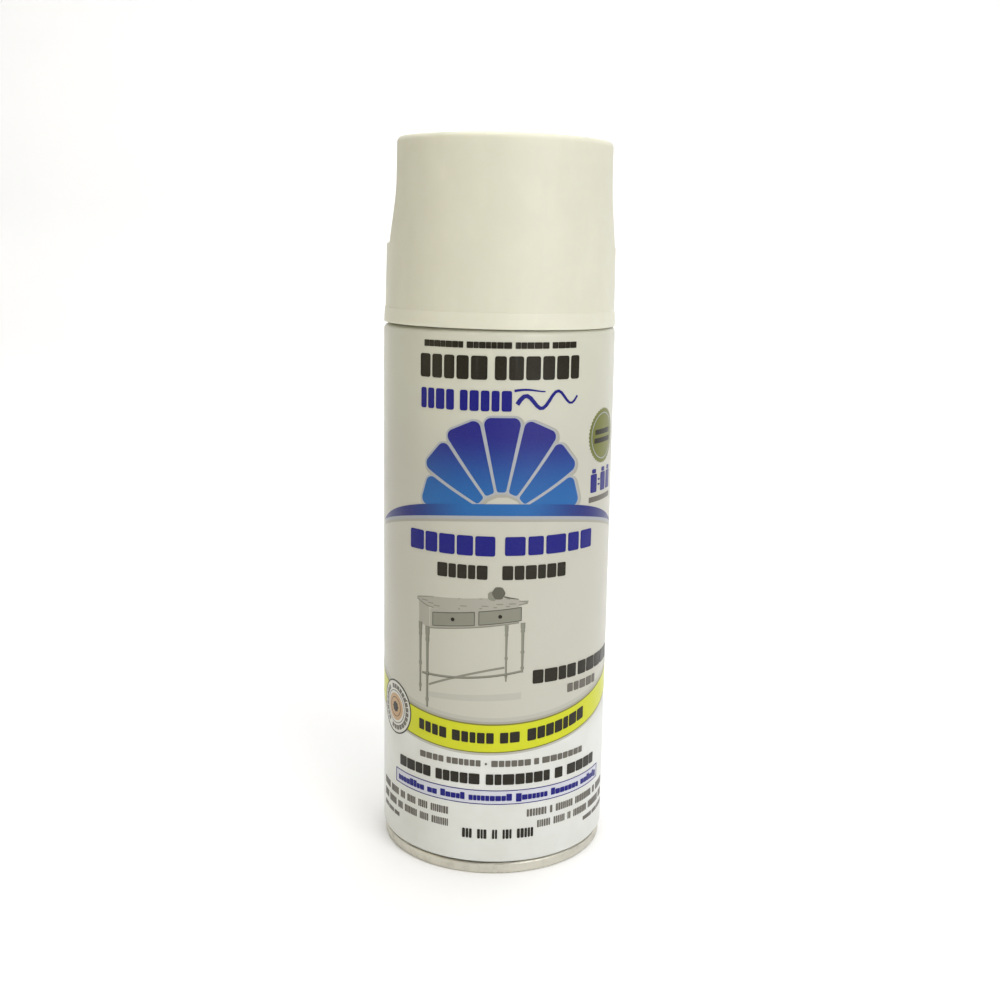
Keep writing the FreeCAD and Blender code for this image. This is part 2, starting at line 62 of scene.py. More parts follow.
# ---- node helpers -------------------------------------------------------------------------------
class Look:
    """A Principled material with helpers that add procedural detail in object space (millimetres)."""

    def __init__(self, name, rough=0.5, metallic=0.0, **inputs):
        self.material = bpy.data.materials.new(name)
        self.material.use_nodes = True
        self.tree = self.material.node_tree
        self.shader = self.tree.nodes["Principled BSDF"]
        self.shader.inputs["Roughness"].default_value = rough
        self.shader.inputs["Metallic"].default_value = metallic
        for key, value in inputs.items():
            self.shader.inputs[key.replace("_", " ")].default_value = value
        coords = self.node("ShaderNodeTexCoord")
        scale = self.node("ShaderNodeVectorMath", operation="SCALE")
        scale.inputs["Scale"].default_value = 1 / MM
        self.link(coords.outputs["Object"], scale.inputs[0])
        self.place = scale.outputs[0]
        self.bump_out = None

    def node(self, kind, **props):
        made = self.tree.nodes.new(kind)
        for key, value in props.items():
            setattr(made, key, value)
        return made

    def link(self, a, b):
        self.tree.links.new(a, b)

    def axis(self, name):
        parts = self.node("ShaderNodeSeparateXYZ")
        self.link(self.place, parts.inputs[0])
        return parts.outputs[name]

    def math(self, operation, *values):
        made = self.node("ShaderNodeMath", operation=operation)
        for socket, value in zip(made.inputs, values):
            if isinstance(value, (int, float)):
                socket.default_value = value
            else:
                self.link(value, socket)
        return made.outputs[0]

    def ramp(self, value, low, high, to_low=0.0, to_high=1.0, smooth=True):
        made = self.node("ShaderNodeMapRange")
        made.interpolation_type = "SMOOTHSTEP" if smooth else "LINEAR"
        for key, number in (("From Min", low), ("From Max", high), ("To Min", to_low), ("To Max", to_high)):
            made.inputs[key].default_value = number
        self.link(value, made.inputs["Value"])
        return made.outputs["Result"]

    def noise(self, size, detail=3.0, stretch=(1, 1, 1), rough=0.55):
        """Noise whose features are about size millimetres across, stretched along the axes."""
        fit = self.node("ShaderNodeMapping")
        fit.inputs["Scale"].default_value = [1 / size / s for s in stretch]
        made = self.node("ShaderNodeTexNoise")
        made.inputs["Scale"].default_value = 1.0
        made.inputs["Detail"].default_value = detail
        made.inputs["Roughness"].default_value = rough
        self.link(self.place, fit.inputs[0])
        self.link(fit.outputs[0], made.inputs["Vector"])
        return made.outputs[0]

    def mix(self, factor, a, b):
        made = self.node("ShaderNodeMix", data_type="RGBA")
        for socket, value in zip((made.inputs[0], made.inputs[6], made.inputs[7]), (factor, a, b)):
            if isinstance(value, (int, float)):
                socket.default_value = value
            elif isinstance(value, (tuple, list)):
                socket.default_value = (*value[:3], 1)
            else:
                self.link(value, socket)
        return made.outputs[2]

    def color(self, value):
        if isinstance(value, (tuple, list)):
            self.shader.inputs["Base Color"].default_value = (*value[:3], 1)
        else:
            self.link(value, self.shader.inputs["Base Color"])

    def rough(self, value):
        self.link(value, self.shader.inputs["Roughness"])

    def bump(self, value, depth):
        """Adds relief of about depth millimetres where value goes from 0 to 1."""
        made = self.node("ShaderNodeBump")
        made.inputs["Distance"].default_value = depth * MM
        made.inputs["Strength"].default_value = 1.0
        self.link(value, made.inputs["Height"])
        if self.bump_out:
            self.link(self.bump_out, made.inputs["Normal"])
        self.bump_out = made.outputs[0]
        self.link(self.bump_out, self.shader.inputs["Normal"])


def srgb(r, g, b):
    """Linear colour from an 8-bit sRGB one."""
    return tuple((v / 255 / 12.92) if v <= 10.31 else ((v / 255 + 0.055) / 1.055) ** 2.4 for v in (r, g, b))


def shade(color, k):
    return tuple(min(1.0, c * k) for c in color)


def pigment(r, g, b):
    """Base colour of a print that looks like this 8-bit colour under the studio's light and its gloss."""
    return tuple(max(0.002, v / 1.22 - 0.014) for v in srgb(r, g, b))


# ---- materials ----------------------------------------------------------------------------------
def moulded(name, color, rough=0.42, grain=0.35, depth=0.006, soft=0.0, worn=0.05, painted_highlight_below=None):
    """Injection-moulded plastic: fine grain, cloudy colour, slightly uneven gloss and faint marks."""
    look = Look(name, rough, IOR=1.49, Specular_IOR_Level=0.32)
    cloud = look.ramp(look.noise(9.0, 2.0), 0.3, 0.7)
    flow = look.ramp(look.noise(5.0, 3.0, stretch=(1, 1, 5)), 0.35, 0.7)
    marks = look.ramp(look.noise(2.2, 6.0, stretch=(2.4, 2.4, 0.7), rough=0.7), 0.66, 0.78)
    base = look.mix(cloud, shade(color, 0.985), shade(color, 1.015))
    base = look.mix(look.math("MULTIPLY", flow, 0.5), base, shade(color, 0.965))
    base = look.mix(look.math("MULTIPLY", marks, worn * 2), base, shade(color, 0.72))
    if painted_highlight_below:  # painted highlight: the flared band round the foot is painted paler, where it catches the light
        band = look.ramp(look.axis("Z"), painted_highlight_below + 0.15, painted_highlight_below - 0.15, 0.0, 0.07)
        base = look.mix(band, base, (0.93, 0.93, 0.85))
    look.color(base)
    look.rough(look.ramp(look.noise(3.0, 4.0), 0.3, 0.7, rough - 0.05, rough + 0.05))
    look.bump(look.noise(grain, 2.0), depth)
    if soft:
        look.shader.inputs["Subsurface Weight"].default_value = soft
        look.shader.inputs["Subsurface Radius"].default_value = (1.0, 0.85, 0.6)
        look.shader.inputs["Subsurface Scale"].default_value = 2.5 * MM
    return look.material


def tinplate(name, color=(0.60, 0.595, 0.56), rough=0.33, worn=0.5):
    """Bright tinplate: drawn and spun, so its marks run round the axis, with dull stains and small nicks."""
    look = Look(name, rough, 1.0)
    x, y, z = (look.axis(a) for a in "XYZ")
    radius = look.math("SQRT", look.math("ADD", look.math("MULTIPLY", x, x), look.math("MULTIPLY", y, y)))
    rings = look.node("ShaderNodeTexNoise")
    rings.inputs["Scale"].default_value = 1.0
    rings.inputs["Detail"].default_value = 5.0
    joined = look.node("ShaderNodeCombineXYZ")
    look.link(look.math("MULTIPLY", radius, 6.0), joined.inputs[0])
    look.link(look.math("MULTIPLY", z, 6.0), joined.inputs[1])
    look.link(look.math("MULTIPLY", look.math("ARCTAN2", x, y), 0.8), joined.inputs[2])
    look.link(joined.outputs[0], rings.inputs["Vector"])
    spin = look.ramp(rings.outputs[0], 0.3, 0.7)
    stain = look.ramp(look.noise(4.0, 5.0, rough=0.7), 0.42, 0.72)
    nick = look.ramp(look.noise(0.9, 4.0, stretch=(2, 2, 0.6), rough=0.8), 0.68, 0.74)
    base = look.mix(look.math("MULTIPLY", spin, 0.5), color, shade(color, 0.86))
    base = look.mix(look.math("MULTIPLY", stain, worn * 0.7), base, shade(color, 0.62))
    base = look.mix(look.math("MULTIPLY", nick, worn), base, (0.10, 0.09, 0.075))
    look.color(base)
    dull = look.math("ADD", look.math("MULTIPLY", stain, 0.22), look.math("MULTIPLY", spin, 0.06))
    look.rough(look.math("ADD", dull, rough))
    look.bump(spin, 0.010)
    look.bump(look.noise(1.4, 4.0), 0.008)
    return look.material


def wire(name, color, rough=0.22):
    look = Look(name, rough, 1.0)
    drawn = look.ramp(look.noise(0.12, 3.0, stretch=(6, 6, 1)), 0.3, 0.7)
    look.color(look.mix(look.math("MULTIPLY", drawn, 0.4), color, shade(color, 0.75)))
    look.rough(look.ramp(drawn, 0.0, 1.0, rough, rough + 0.12))
    look.bump(drawn, 0.003)
    return look.material


def rubber(name, color, rough=0.62):
    look = Look(name, rough)
    dust = look.ramp(look.noise(1.1, 5.0), 0.45, 0.75)
    look.color(look.mix(look.math("MULTIPLY", dust, 0.35), color, shade(color, 1.7)))
    look.rough(look.ramp(dust, 0, 1, rough, rough + 0.15))
    look.bump(look.noise(0.25, 3.0), 0.012)
    return look.material


def glass(name, color):
    look = Look(name, 0.05, Transmission_Weight=1.0, IOR=1.5)
    swirl = look.ramp(look.noise(5.0, 4.0, stretch=(1, 2.5, 1)), 0.45, 0.6)
    look.color(look.mix(swirl, color, shade(color, 0.55)))
    look.rough(look.ramp(look.noise(1.2, 4.0), 0.4, 0.75, 0.03, 0.2))
    look.bump(look.noise(2.0, 3.0), 0.01)
    return look.material


def liquid(name, color):
    look = Look(name, 0.12, IOR=1.45)
    swirl = look.ramp(look.noise(12.0, 5.0), 0.4, 0.65)
    look.color(look.mix(swirl, color, shade(color, 0.86)))
    look.bump(look.noise(6.0, 2.0), 0.05)
    return look.material


# the label's ground: at the shoulder, behind the pictures, and under the ribbon
WHITE_TOP = (0.553, 0.553, 0.457)
WHITE_MIDDLE = (0.481, 0.474, 0.404)
WHITE_LOW = (0.667, 0.681, 0.649)


def printed_white():
    """Varnished white print on tinplate, warmer towards the shoulder, bare metal past the print's edges."""
    look = Look("printed_white", 0.30, IOR=1.5, Specular_IOR_Level=0.3, Coat_Weight=0.15, Coat_Roughness=0.08)
    z = look.axis("Z")
    base = look.mix(look.ramp(z, 112, 146), WHITE_MIDDLE, WHITE_TOP)
    base = look.mix(look.ramp(z, 47, 38), base, WHITE_LOW)
    cloud = look.ramp(look.noise(14.0, 3.0), 0.3, 0.7)
    base = look.mix(look.math("MULTIPLY", cloud, 0.25), base, WHITE_MIDDLE)
    scuff = look.ramp(look.noise(1.3, 6.0, stretch=(3, 3, 0.6), rough=0.75), 0.665, 0.75)
    low_edge = look.ramp(z, 9, 3.6, 0.0, 0.5)
    high_edge = look.ramp(z, 149, 152, 0.0, 0.12)
    wear = look.math("MULTIPLY", scuff, look.math("ADD", low_edge, high_edge))
    base = look.mix(wear, base, (0.17, 0.15, 0.115))
    bare = look.math("MAXIMUM", look.ramp(z, 3.62, 3.42), look.ramp(z, 152.9, 153.1))
    look.color(look.mix(bare, base, (0.58, 0.575, 0.54)))
    look.link(bare, look.shader.inputs["Metallic"])
    look.rough(look.ramp(look.noise(5.0, 4.0), 0.3, 0.7, 0.29, 0.34))
    look.bump(look.noise(1.6, 2.0, stretch=(1, 1, 2.5)), 0.0035)
    look.bump(look.noise(22.0, 2.0, stretch=(1, 1, 3)), 0.05)
    return look.material


def ink(name, color, other=None, low=0.0, high=1.0, axis="Z", rough=0.30, coat=0.15):
    """One printed colour under varnish. With other, it fades along an axis between two levels in mm."""
    look = Look(name, rough, IOR=1.5, Specular_IOR_Level=0.16, Coat_Weight=coat, Coat_Roughness=0.08)
    base = color
    if other:
        value = look.axis(axis[-1])
        if axis.startswith("abs"):
            value = look.math("ABSOLUTE", value)
        base = look.mix(look.ramp(value, low, high), color, other)
    speck = look.ramp(look.noise(0.22, 2.0), 0.35, 0.75)
    look.color(look.mix(look.math("MULTIPLY", speck, 0.02), base, WHITE_TOP))
    look.rough(look.ramp(look.noise(5.0, 4.0), 0.3, 0.7, rough - 0.01, rough + 0.04))
    look.bump(look.noise(1.6, 2.0, stretch=(1, 1, 2.5)), 0.0035)
    return look.material


# ---- mesh helpers -------------------------------------------------------------------------------
def make(name, verts, faces, material, body, smooth=35.0):
    """A piece from vertices in millimetres, riding on a body and taking a material slot."""
    mesh = bpy.data.meshes.new(name)
    mesh.from_pydata([[c * MM for c in v] for v in verts], [], faces)
    bm = bmesh.new()
    bm.from_mesh(mesh)
    bmesh.ops.recalc_face_normals(bm, faces=bm.faces)
    bm.to_mesh(mesh)
    bm.free()
    mesh.materials.append(material)
    mesh.shade_smooth()
    mesh.set_sharp_from_angle(angle=math.radians(smooth))
    piece = bpy.data.objects.new(name, mesh)
    bpy.context.scene.collection.objects.link(piece)
    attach(piece, body)
    return piece


def grid_faces(rows, columns, offset=0, loop_rows=False, loop_columns=False):
    faces = []
    for r in range(rows if loop_rows else rows - 1):
        for c in range(columns if loop_columns else columns - 1):
            a, b = r * columns, (r + 1) % rows * columns
            d = (c + 1) % columns
            faces.append([offset + a + c, offset + a + d, offset + b + d, offset + b + c])
    return faces


def unit(a, b):
    length = math.hypot(b[0] - a[0], b[1] - a[1])
    return (b[0] - a[0]) / length, (b[1] - a[1]) / length


def rounded(points, step=12.0):
    """Points along a (r, z) or (r, z, bend) path, with each bend drawn as an arc every step degrees."""
    out = [points[0][:2]]
    for before, corner, after in zip(points, points[1:], points[2:]):
        bend = corner[2] if len(corner) > 2 else 0.0
        ix, iz = unit(before, corner)
        ox, oz = unit(corner, after)
        turn = math.acos(max(-1.0, min(1.0, ix * ox + iz * oz)))
        reach = bend * math.tan(turn / 2)
        if reach < 1e-6:
            out.append(corner[:2])
            continue
        side = 1.0 if ix * oz - iz * ox > 0 else -1.0
        sx, sz = corner[0] - ix * reach, corner[1] - iz * reach
        cx, cz = sx - iz * side * bend, sz + ix * side * bend
        count = max(2, math.ceil(math.degrees(turn) / step))
        for i in range(count + 1):
            a = side * turn * i / count
            dx, dz = sx - cx, sz - cz
            out.append((cx + dx * math.cos(a) - dz * math.sin(a), cz + dx * math.sin(a) + dz * math.cos(a)))
    return out + [points[-1][:2]]


def offset_path(points, shift):
    """The path moved sideways by shift, with each bend made wider or tighter to match."""
    moved = []
    for i, point in enumerate(points):
        normals = []
        before = points[i - 1] if i else None
        after = points[i + 1] if i + 1 < len(points) else None
        for a, b in ((before, point), (point, after)):
            if a is not None and b is not None:
                dx, dz = unit(a, b)
                normals.append((-dz, dx))
        if len(normals) == 1:
            moved.append((point[0] + normals[0][0] * shift, point[1] + normals[0][1] * shift))
            continue
        (ax, az), (bx, bz) = normals
        share = 1 + ax * bx + az * bz
        bend = point[2] if len(point) > 2 else 0.0
        bend = bend - shift if ax * bz - az * bx > 0 else bend + shift
        out, up = (ax + bx) * shift / share, (az + bz) * shift / share
        moved.append((point[0] + out, point[1] + up, max(bend, 0.0)))
    return moved


def ring(r, z, count):
    """Points evenly round a circle of radius r at height z."""
    angles = [2 * math.pi * i / count for i in range(count)]
    return [(r * math.cos(a), r * math.sin(a), z) for a in angles]


def lathe(name, outline, material, body, turns=240, smooth=35.0):
    """A closed ring: the outline of (r, z) points turned about the can's axis."""
    verts = []
    for r, z in outline:
        verts += ring(r, z, turns)
    faces = grid_faces(len(outline), turns, loop_rows=True, loop_columns=True)
    return make(name, verts, faces, material, body, smooth)


# ---- the printed barrel -------------------------------------------------------------------------
def barrel():
    """The seamed barrel. Its sheet is 0.2 mm, hooked at both ends inside the double seams."""
    sheet, mid = 0.20, BARREL - 0.10
    base_hook, base_wall = 32.02, 31.46
    neck_hook, neck_wall = 30.87, 30.31
    path = [
        (base_hook, 2.50),
        (base_hook, 0.60, 0.28),
        (base_wall, 0.60, 0.28),
        (base_wall, 3.25, 0.6),
        (mid, 3.95, 0.7),
        (mid, 152.0, 1.3),
        (neck_wall, 153.2, 0.8),
        (neck_wall, 157.8, 0.28),
        (neck_hook, 157.8, 0.28),
        (neck_hook, 155.9),
    ]
    outline = rounded(offset_path(path, sheet / 2)) + rounded(offset_path(path, -sheet / 2))[::-1]
    piece = lathe("printed_barrel", outline, printed_white(), "can")
    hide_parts("can_body")


class Print:
    """Flat art on the barrel. s is millimetres round from the front, to the right, and z is the height."""

    UNDER = -0.03  # the underside of every ink film lies just inside the sheet

    def __init__(self, name, material, lift):
        self.name, self.material, self.lift = name, material, lift
        self.verts, self.faces = [], []

    def wrap(self, s, z, lift):
        a = s / BARREL
        return ((BARREL + lift) * math.sin(a), -(BARREL + lift) * math.cos(a), z)

    def film(self, rows, loop=False, centre=None):
        """A thin closed film over (s, z) rows. loop joins the columns, and centre closes the middle."""
        start, m, n = len(self.verts), len(rows[0]), len(rows)
        size = n * m + (1 if centre else 0)
        flat = [p for row in rows for p in row] + ([centre] if centre else [])
        for lift in (self.lift, self.UNDER):
            self.verts += [self.wrap(s, z, lift) for s, z in flat]
        top = grid_faces(n, m, start, loop_columns=loop)
        if centre:
            last = start + (n - 1) * m
            top += [[last + c, last + (c + 1) % m, start + n * m] for c in range(m)]
        self.faces += top + [[v + size for v in face][::-1] for face in top]
        rims = [[start + c for c in range(m)]]
        if not centre:
            rims.append([start + (n - 1) * m + c for c in range(m)][::-1])
        if not loop:
            rims = [
                [start + c for c in range(m)]
                + [start + r * m + m - 1 for r in range(1, n)]
                + [start + (n - 1) * m + c for c in range(m - 2, -1, -1)]
                + [start + r * m for r in range(n - 2, 0, -1)]
            ]
        for rim in rims:
            for a, b in zip(rim, rim[1:] + rim[:1]):
                self.faces.append([b, a, a + size, b + size])

    def strip(self, columns):
        """Film between a low and a high edge, from columns of (s, low z, high z), with more in between."""
        full = []
        for a, b in zip(columns, columns[1:]):
            count = max(1, math.ceil((b[0] - a[0]) / 1.1))
            full += [tuple(p + (q - p) * i / count for p, q in zip(a, b)) for i in range(count)]
        full.append(columns[-1])
        self.film([[(s, low) for s, low, _ in full], [(s, high) for s, _, high in full]])

    def bar(self, s0, s1, z0, z1, curve=None, corner=0.3):
        """A bar with rounded corners. curve(s) lifts it along a curved line."""
        r = min(corner, (z1 - z0) * 0.45, (s1 - s0) * 0.45)
        stops = [0.0, 0.15 * r, 0.5 * r, r]
        inner = max(1, math.ceil((s1 - s0 - 2 * r) / 1.2))
        places = [s0 + t for t in stops]
        places += [s0 + r + (s1 - s0 - 2 * r) * i / inner for i in range(1, inner)]
        places += [s1 - t for t in stops[::-1]]
        columns = []
        for s in places:
            d = min(s - s0, s1 - s, r)
            inset = r - math.sqrt(max(0.0, r * r - (r - d) ** 2))
            rise = curve(s) if curve else 0.0
            columns.append((s, z0 + inset * 0.98 + rise, z1 - inset * 0.98 + rise))
        self.strip(columns)

    def blob(self, outline, centre, rings=4):
        """Film inside an outline that is seen whole from its centre."""
        rows = []
        for k in range(rings):
            t = 1 - k / rings
            row = [(centre[0] + (s - centre[0]) * t, centre[1] + (z - centre[1]) * t) for s, z in outline]
            rows.append(row)
        self.film(rows, loop=True, centre=centre)

    def band(self, outer, inner):
        """Film between two closed outlines with the same number of points."""
        self.film([outer, inner], loop=True)

    def stroke(self, points, width, thin=None):
        """A line of some width through the points, narrowing to thin at its end."""
        left, right = [], []
        for i, (s, z) in enumerate(points):
            a, b = points[max(i - 1, 0)], points[min(i + 1, len(points) - 1)]
            dx, dz = unit(a, b)
            w = (width + ((thin if thin is not None else width) - width) * i / (len(points) - 1)) / 2
            left.append((s - dz * w, z + dx * w))
            right.append((s + dz * w, z - dx * w))
        self.film([right, left])

    def words(self, rng, s0, s1, z0, z1, groups, curve=None, lower=False, gap=0.30, space=0.9):
        """A line of greeked text: one plain block for each letter of each word, and no letter shapes."""
        letters = [[rng.uniform(0.72, 1.25) for _ in range(n)] for n in groups]
        total = sum(map(sum, letters))
        height = z1 - z0
        gap, space = gap * height * 0.2, space * height * 0.62
        spaces = sum(len(w) - 1 for w in letters) * gap + (len(letters) - 1) * space
        k = (s1 - s0 - spaces) / total
        s = s0
        for word in letters:
            for width in word:
                low, high = z0, z1
                if lower:
                    high = z1 if rng.random() < 0.28 else z0 + height * 0.74
                    low = z0 - height * 0.2 if rng.random() < 0.1 else z0
                self.bar(s, s + width * k, low, high, curve, corner=0.1 * height)
                s += width * k + gap
            s += space - gap

    def done(self):
        make(self.name, self.verts, self.faces, self.material, "can", 30.0)


def circle(s, z, r, count=64, wave=0.0, teeth=0):
    out = []
    for i in range(count):
        a = 2 * math.pi * i / count
        k = r + wave * math.cos(teeth * a)
        out.append((s + k * math.cos(a), z + k * math.sin(a)))
    return out


def petal(pivot, angle, near, far, wide_near, wide_far, grow=0.0):
    """Outline of one swatch of a fan deck, pointing angle degrees from straight up, with round corners."""
    near, far = near - grow, far + grow
    half_near, half_far = wide_near / 2 + grow, wide_far / 2 + grow
    start = (0.0, near)
    near_bend, far_bend = 0.8, 1.9 + grow
    left = [(-half_near, near, near_bend), (-half_far, far, far_bend)]
    right = [(half_far, far, far_bend), (half_near, near, near_bend)]
    path = rounded([start, *left, *right, start], 10.0)[:-1]
    dense = []
    for a, b in zip(path, path[1:] + path[:1]):
        n = max(1, math.ceil(math.dist(a, b) / 1.2))
        dense += [(a[0] + (b[0] - a[0]) * i / n, a[1] + (b[1] - a[1]) * i / n) for i in range(n)]
    t = math.radians(angle)
    cos, sin = math.cos(t), math.sin(t)
    out = [(pivot[0] + x * cos + y * sin, pivot[1] - x * sin + y * cos) for x, y in dense]
    middle = (near + far) / 2
    return out, (pivot[0] + middle * sin, pivot[1] + middle * cos)


NAVY = pigment(36, 32, 128)
DARK = pigment(50, 47, 40)
BLUE_TOP = pigment(30, 34, 130)
BLUE_LOW = pigment(14, 104, 172)
SILVER = pigment(176, 180, 184)
YELLOW = pigment(216, 220, 52)
OLIVE_DARK = pigment(88, 94, 34)
OLIVE_PALE = pigment(124, 128, 66)
SWOOSH_END = pigment(34, 44, 120)


def ribbon_high(s):
    return 44.5 + 0.0037 * (s + 2) ** 2


def ribbon_low(s):
    return 36.35 + 0.0037 * (s + 4) ** 2


def base_high(s):
    """Upper edge of the emblem's swoosh."""
    d = abs(s - 1.5)
    return 106.6 - 0.0024 * d * d - 0.0000012 * d**4


def base_low(s):
    d = abs(s - 1.5)
    return 103.4 - 0.0029 * d * d - 0.0000002 * d**4


def label_front(rng):
    """Front of the label: greeked lines, a fan-deck emblem, a console table, a ribbon and seals."""
    navy = Print("print_navy", ink("ink_navy", NAVY), 0.10)
    dark = Print("print_dark", ink("ink_dark", DARK), 0.10)
    grey = Print("print_grey", ink("ink_grey", pigment(112, 108, 100)), 0.09)
    pale = Print("print_pale_grey", ink("ink_pale_grey", pigment(176, 174, 162)), 0.04)
    mist = Print("print_mist", ink("ink_mist", pigment(194, 193, 181)), 0.02)
    stone = Print("print_stone", ink("ink_stone", pigment(146, 146, 132)), 0.062)
    shadow = Print("print_shadow", ink("ink_shadow", pigment(104, 103, 92)), 0.082)
    blue = Print("print_blue", ink("ink_blue", BLUE_LOW, BLUE_TOP, 106.0, 126.0, coat=0.4), 0.08)
    swoosh_ink = ink("ink_swoosh", BLUE_LOW, SWOOSH_END, 6.0, 26.0, "absX", coat=0.4)
    swoosh = Print("print_swoosh", swoosh_ink, 0.096)
    silver = Print("print_silver", ink("ink_silver", SILVER), 0.06)
    yellow = Print("print_yellow", ink("ink_yellow", YELLOW), 0.045)
    olive = Print("print_olive", ink("ink_olive", OLIVE_DARK, OLIVE_PALE, 16.0, 31.0, "X"), 0.04)
    white = Print("print_seal_white", ink("ink_seal_white", pigment(228, 228, 220)), 0.07)
    warm = Print("print_warm", ink("ink_warm", pigment(206, 172, 132)), 0.084)
    lilac = Print("print_lilac", ink("ink_lilac", pigment(218, 220, 230)), 0.04)

    # heading lines
    dark.words(rng, -21.3, 22.2, 148.05, 149.75, [7, 7, 5, 4])
    dark.words(rng, -22.6, 23.4, 139.8, 146.1, [5, 6], gap=0.5, space=0.5)
    navy.words(rng, -22.3, 3.6, 131.5, 137.0, [4, 5], gap=0.5, space=0.5)
    stroke = [(5.0 + 0.9 * i, 133.4 + 2.0 * math.sin(i * 0.62) + 0.11 * i) for i in range(21)]
    navy.stroke(stroke, 1.25, 0.55)
    navy.stroke([(4.2 + 0.95 * i, 137.0 + 0.3 * math.sin(i * 0.5)) for i in range(10)], 0.7, 0.35)

    # fan-deck emblem on its swoosh
    span = [-43.5 + i * 1.1 for i in range(83)]
    pale.strip([(s, base_low(s) - 1.6, base_low(s) - 0.3) for s in span])
    silver.strip([(s, base_low(s) - 0.85, base_low(s) + 0.2) for s in span])
    swoosh.strip([(s, base_low(s), max(base_high(s), base_low(s) + 0.12)) for s in span])
    pivot = (1.2, 102.4)
    for angle in (-72, -48, -24, 0, 24, 48, 72):
        far = {0: 27.4, 24: 27.4, 48: 26.0, 72: 23.4}[abs(angle)]
        for layer, grow, shift in ((pale, 1.0, 0.4), (silver, 0.55, 0.0), (blue, 0.0, 0.0)):
            place = (pivot[0] + shift, pivot[1] - shift)
            edge, middle = petal(place, angle, 7.4, far, 2.4, 0.385 * far, grow)
            layer.blob(edge, middle, 6)

    # sub-headings
    navy.words(rng, -26.2, -0.2, 92.2, 97.7, [5], gap=0.55)
    navy.words(rng, 2.4, 30.6, 92.4, 97.6, [5], gap=0.75)
    dark.words(rng, -16.6, -2.2, 85.7, 89.6, [5], gap=0.5)
    dark.words(rng, 1.8, 20.4, 85.7, 89.6, [6], gap=0.5)

    # gold-olive seal and small can icons
    seal = (36.0, 123.1)
    olive.blob(circle(*seal, 7.6, 176, 0.22, 44), seal, 5)
    silver.band(circle(*seal, 6.5, 64), circle(*seal, 6.25, 64))
    dark.words(rng, 31.4, 40.6, 123.6, 125.0, [6])
    dark.words(rng, 31.0, 41.0, 121.2, 122.6, [8])
    for s, width in ((29.7, 3.1), (35.2, 3.1), (39.4, 3.1)):
        navy.bar(s, s + width, 107.5, 112.7, corner=0.4)
        navy.bar(s + 0.55, s + width - 0.55, 112.9, 114.1, corner=0.4)
    for z in (109.3, 110.7):
        navy.bar(33.5, 34.6, z, z + 0.5, corner=0.1)
    grey.words(rng, 29.0, 43.0, 104.8, 106.3, [8])

    # console table: a bow front with two drawers, turned legs and a crossed stretcher
    mist.strip([(-20 + i * 1.2, 50.4 + 0.06 * i, 51.9 + 0.08 * i) for i in range(24)])
    board = [(-23.5, 78.0, 78.7), (-22, 77.2, 79.0), (-20, 76.5, 79.3), (-18, 76.2, 79.5), (-10, 76.9, 80.0)]
    board += [(-4, 77.4, 80.4), (0, 77.8, 80.6), (3.5, 78.1, 80.6), (7, 78.5, 79.8), (9.0, 78.9, 79.3)]
    pale.strip(board)
    pale.strip([(-22.8, 71.6, 77.6), (-21, 70.9, 76.8), (-19.2, 70.3, 76.2)])
    pale.strip([(-18.9 + i * 1.5, 70.3 + 0.19 * i, 76.0 + 0.175 * i) for i in range(18)])
    for i, (s, low, high) in enumerate(board[1:-1]):
        stone.bar(s + 0.3, s + 2.2, low + 0.75 + 0.2 * (i % 2), low + 1.05 + 0.2 * (i % 2), corner=0.1)
    stone.stroke([(s, low + 0.2) for s, low, high in board], 0.34)
    stone.stroke([(s, high - 0.1) for s, low, high in board], 0.22)
    stone.stroke([(-18.9 + i * 1.5, 70.45 + 0.19 * i) for i in range(18)], 0.36)
    for s0, s1, low in ((-18.0, -5.6, 71.3), (-4.4, 7.2, 72.9)):
        run, tall, rise = s1 - s0, 3.75, 0.115
        stone.strip([(s0, low, low + tall), (s1, low + run * rise, low + tall + run * rise)])
        box = [(s0, low), (s0, low + tall), (s1, low + tall + run * rise), (s1, low + run * rise), (s0, low)]
        for a, b in zip(box, box[1:]):
            count = max(2, math.ceil(math.dist(a, b) / 1.2))
            run_s, run_z = b[0] - a[0], b[1] - a[1]
            line = [(a[0] + run_s * i / count, a[1] + run_z * i / count) for i in range(count + 1)]
            shadow.stroke(line, 0.24)
        middle = ((s0 + s1) / 2, low + tall / 2 + run * rise / 2)
        dark.blob(circle(*middle, 0.55, 16), middle, 1)
    turned = [(0.0, 0.3), (0.06, 0.3), (0.08, 0.5), (0.11, 0.5), (0.13, 0.32), (0.38, 0.36), (0.4, 0.56)]
    turned += [(0.43, 0.56), (0.45, 0.36), (0.8, 0.44), (0.82, 0.62), (0.85, 0.62), (0.87, 0.5)]
    turned += [(0.9, 0.66), (1.0, 0.7)]
    front_legs = ((-19.8, 1.05, 47.3, 70.8), (-22.3, 0.9, 51.3, 71.6))
    back_legs = ((7.7, 0.95, 59.4, 73.6), (3.2, 0.75, 57.0, 73.0))
    for s, width, low, high in front_legs + back_legs:
        tall = high - low
        left = [(s - width * half, low + tall * t) for t, half in turned]
        right = [(s + width * half, low + tall * t) for t, half in turned]
        stone.film([left, right])
        shadow.film([[(a[0] - 0.12 * width, a[1]) for a in right], right])
    stone.stroke([(-21.6 + i * 1.45, 57.1 + 0.0068 * i * i) for i in range(21)], 0.6)
    stone.stroke([(-19.2 + i * 1.1, 54.0 + 0.52 * i - 0.0085 * i * i) for i in range(21)], 0.6)
    shadow.stroke([(-21.6 + i * 1.45, 56.85 + 0.0068 * i * i) for i in range(21)], 0.16)
    shadow.blob(circle(0.9, 82.0, 1.75, 40, 0.06, 6), (0.9, 82.0), 2)
    stone.blob(circle(-0.7, 81.2, 1.35, 32, 0.05, 5), (-0.7, 81.2), 2)
    shadow.stroke([(2.4 + i * 0.8, 81.0 - 0.15 * i) for i in range(6)], 0.4, 0.2)

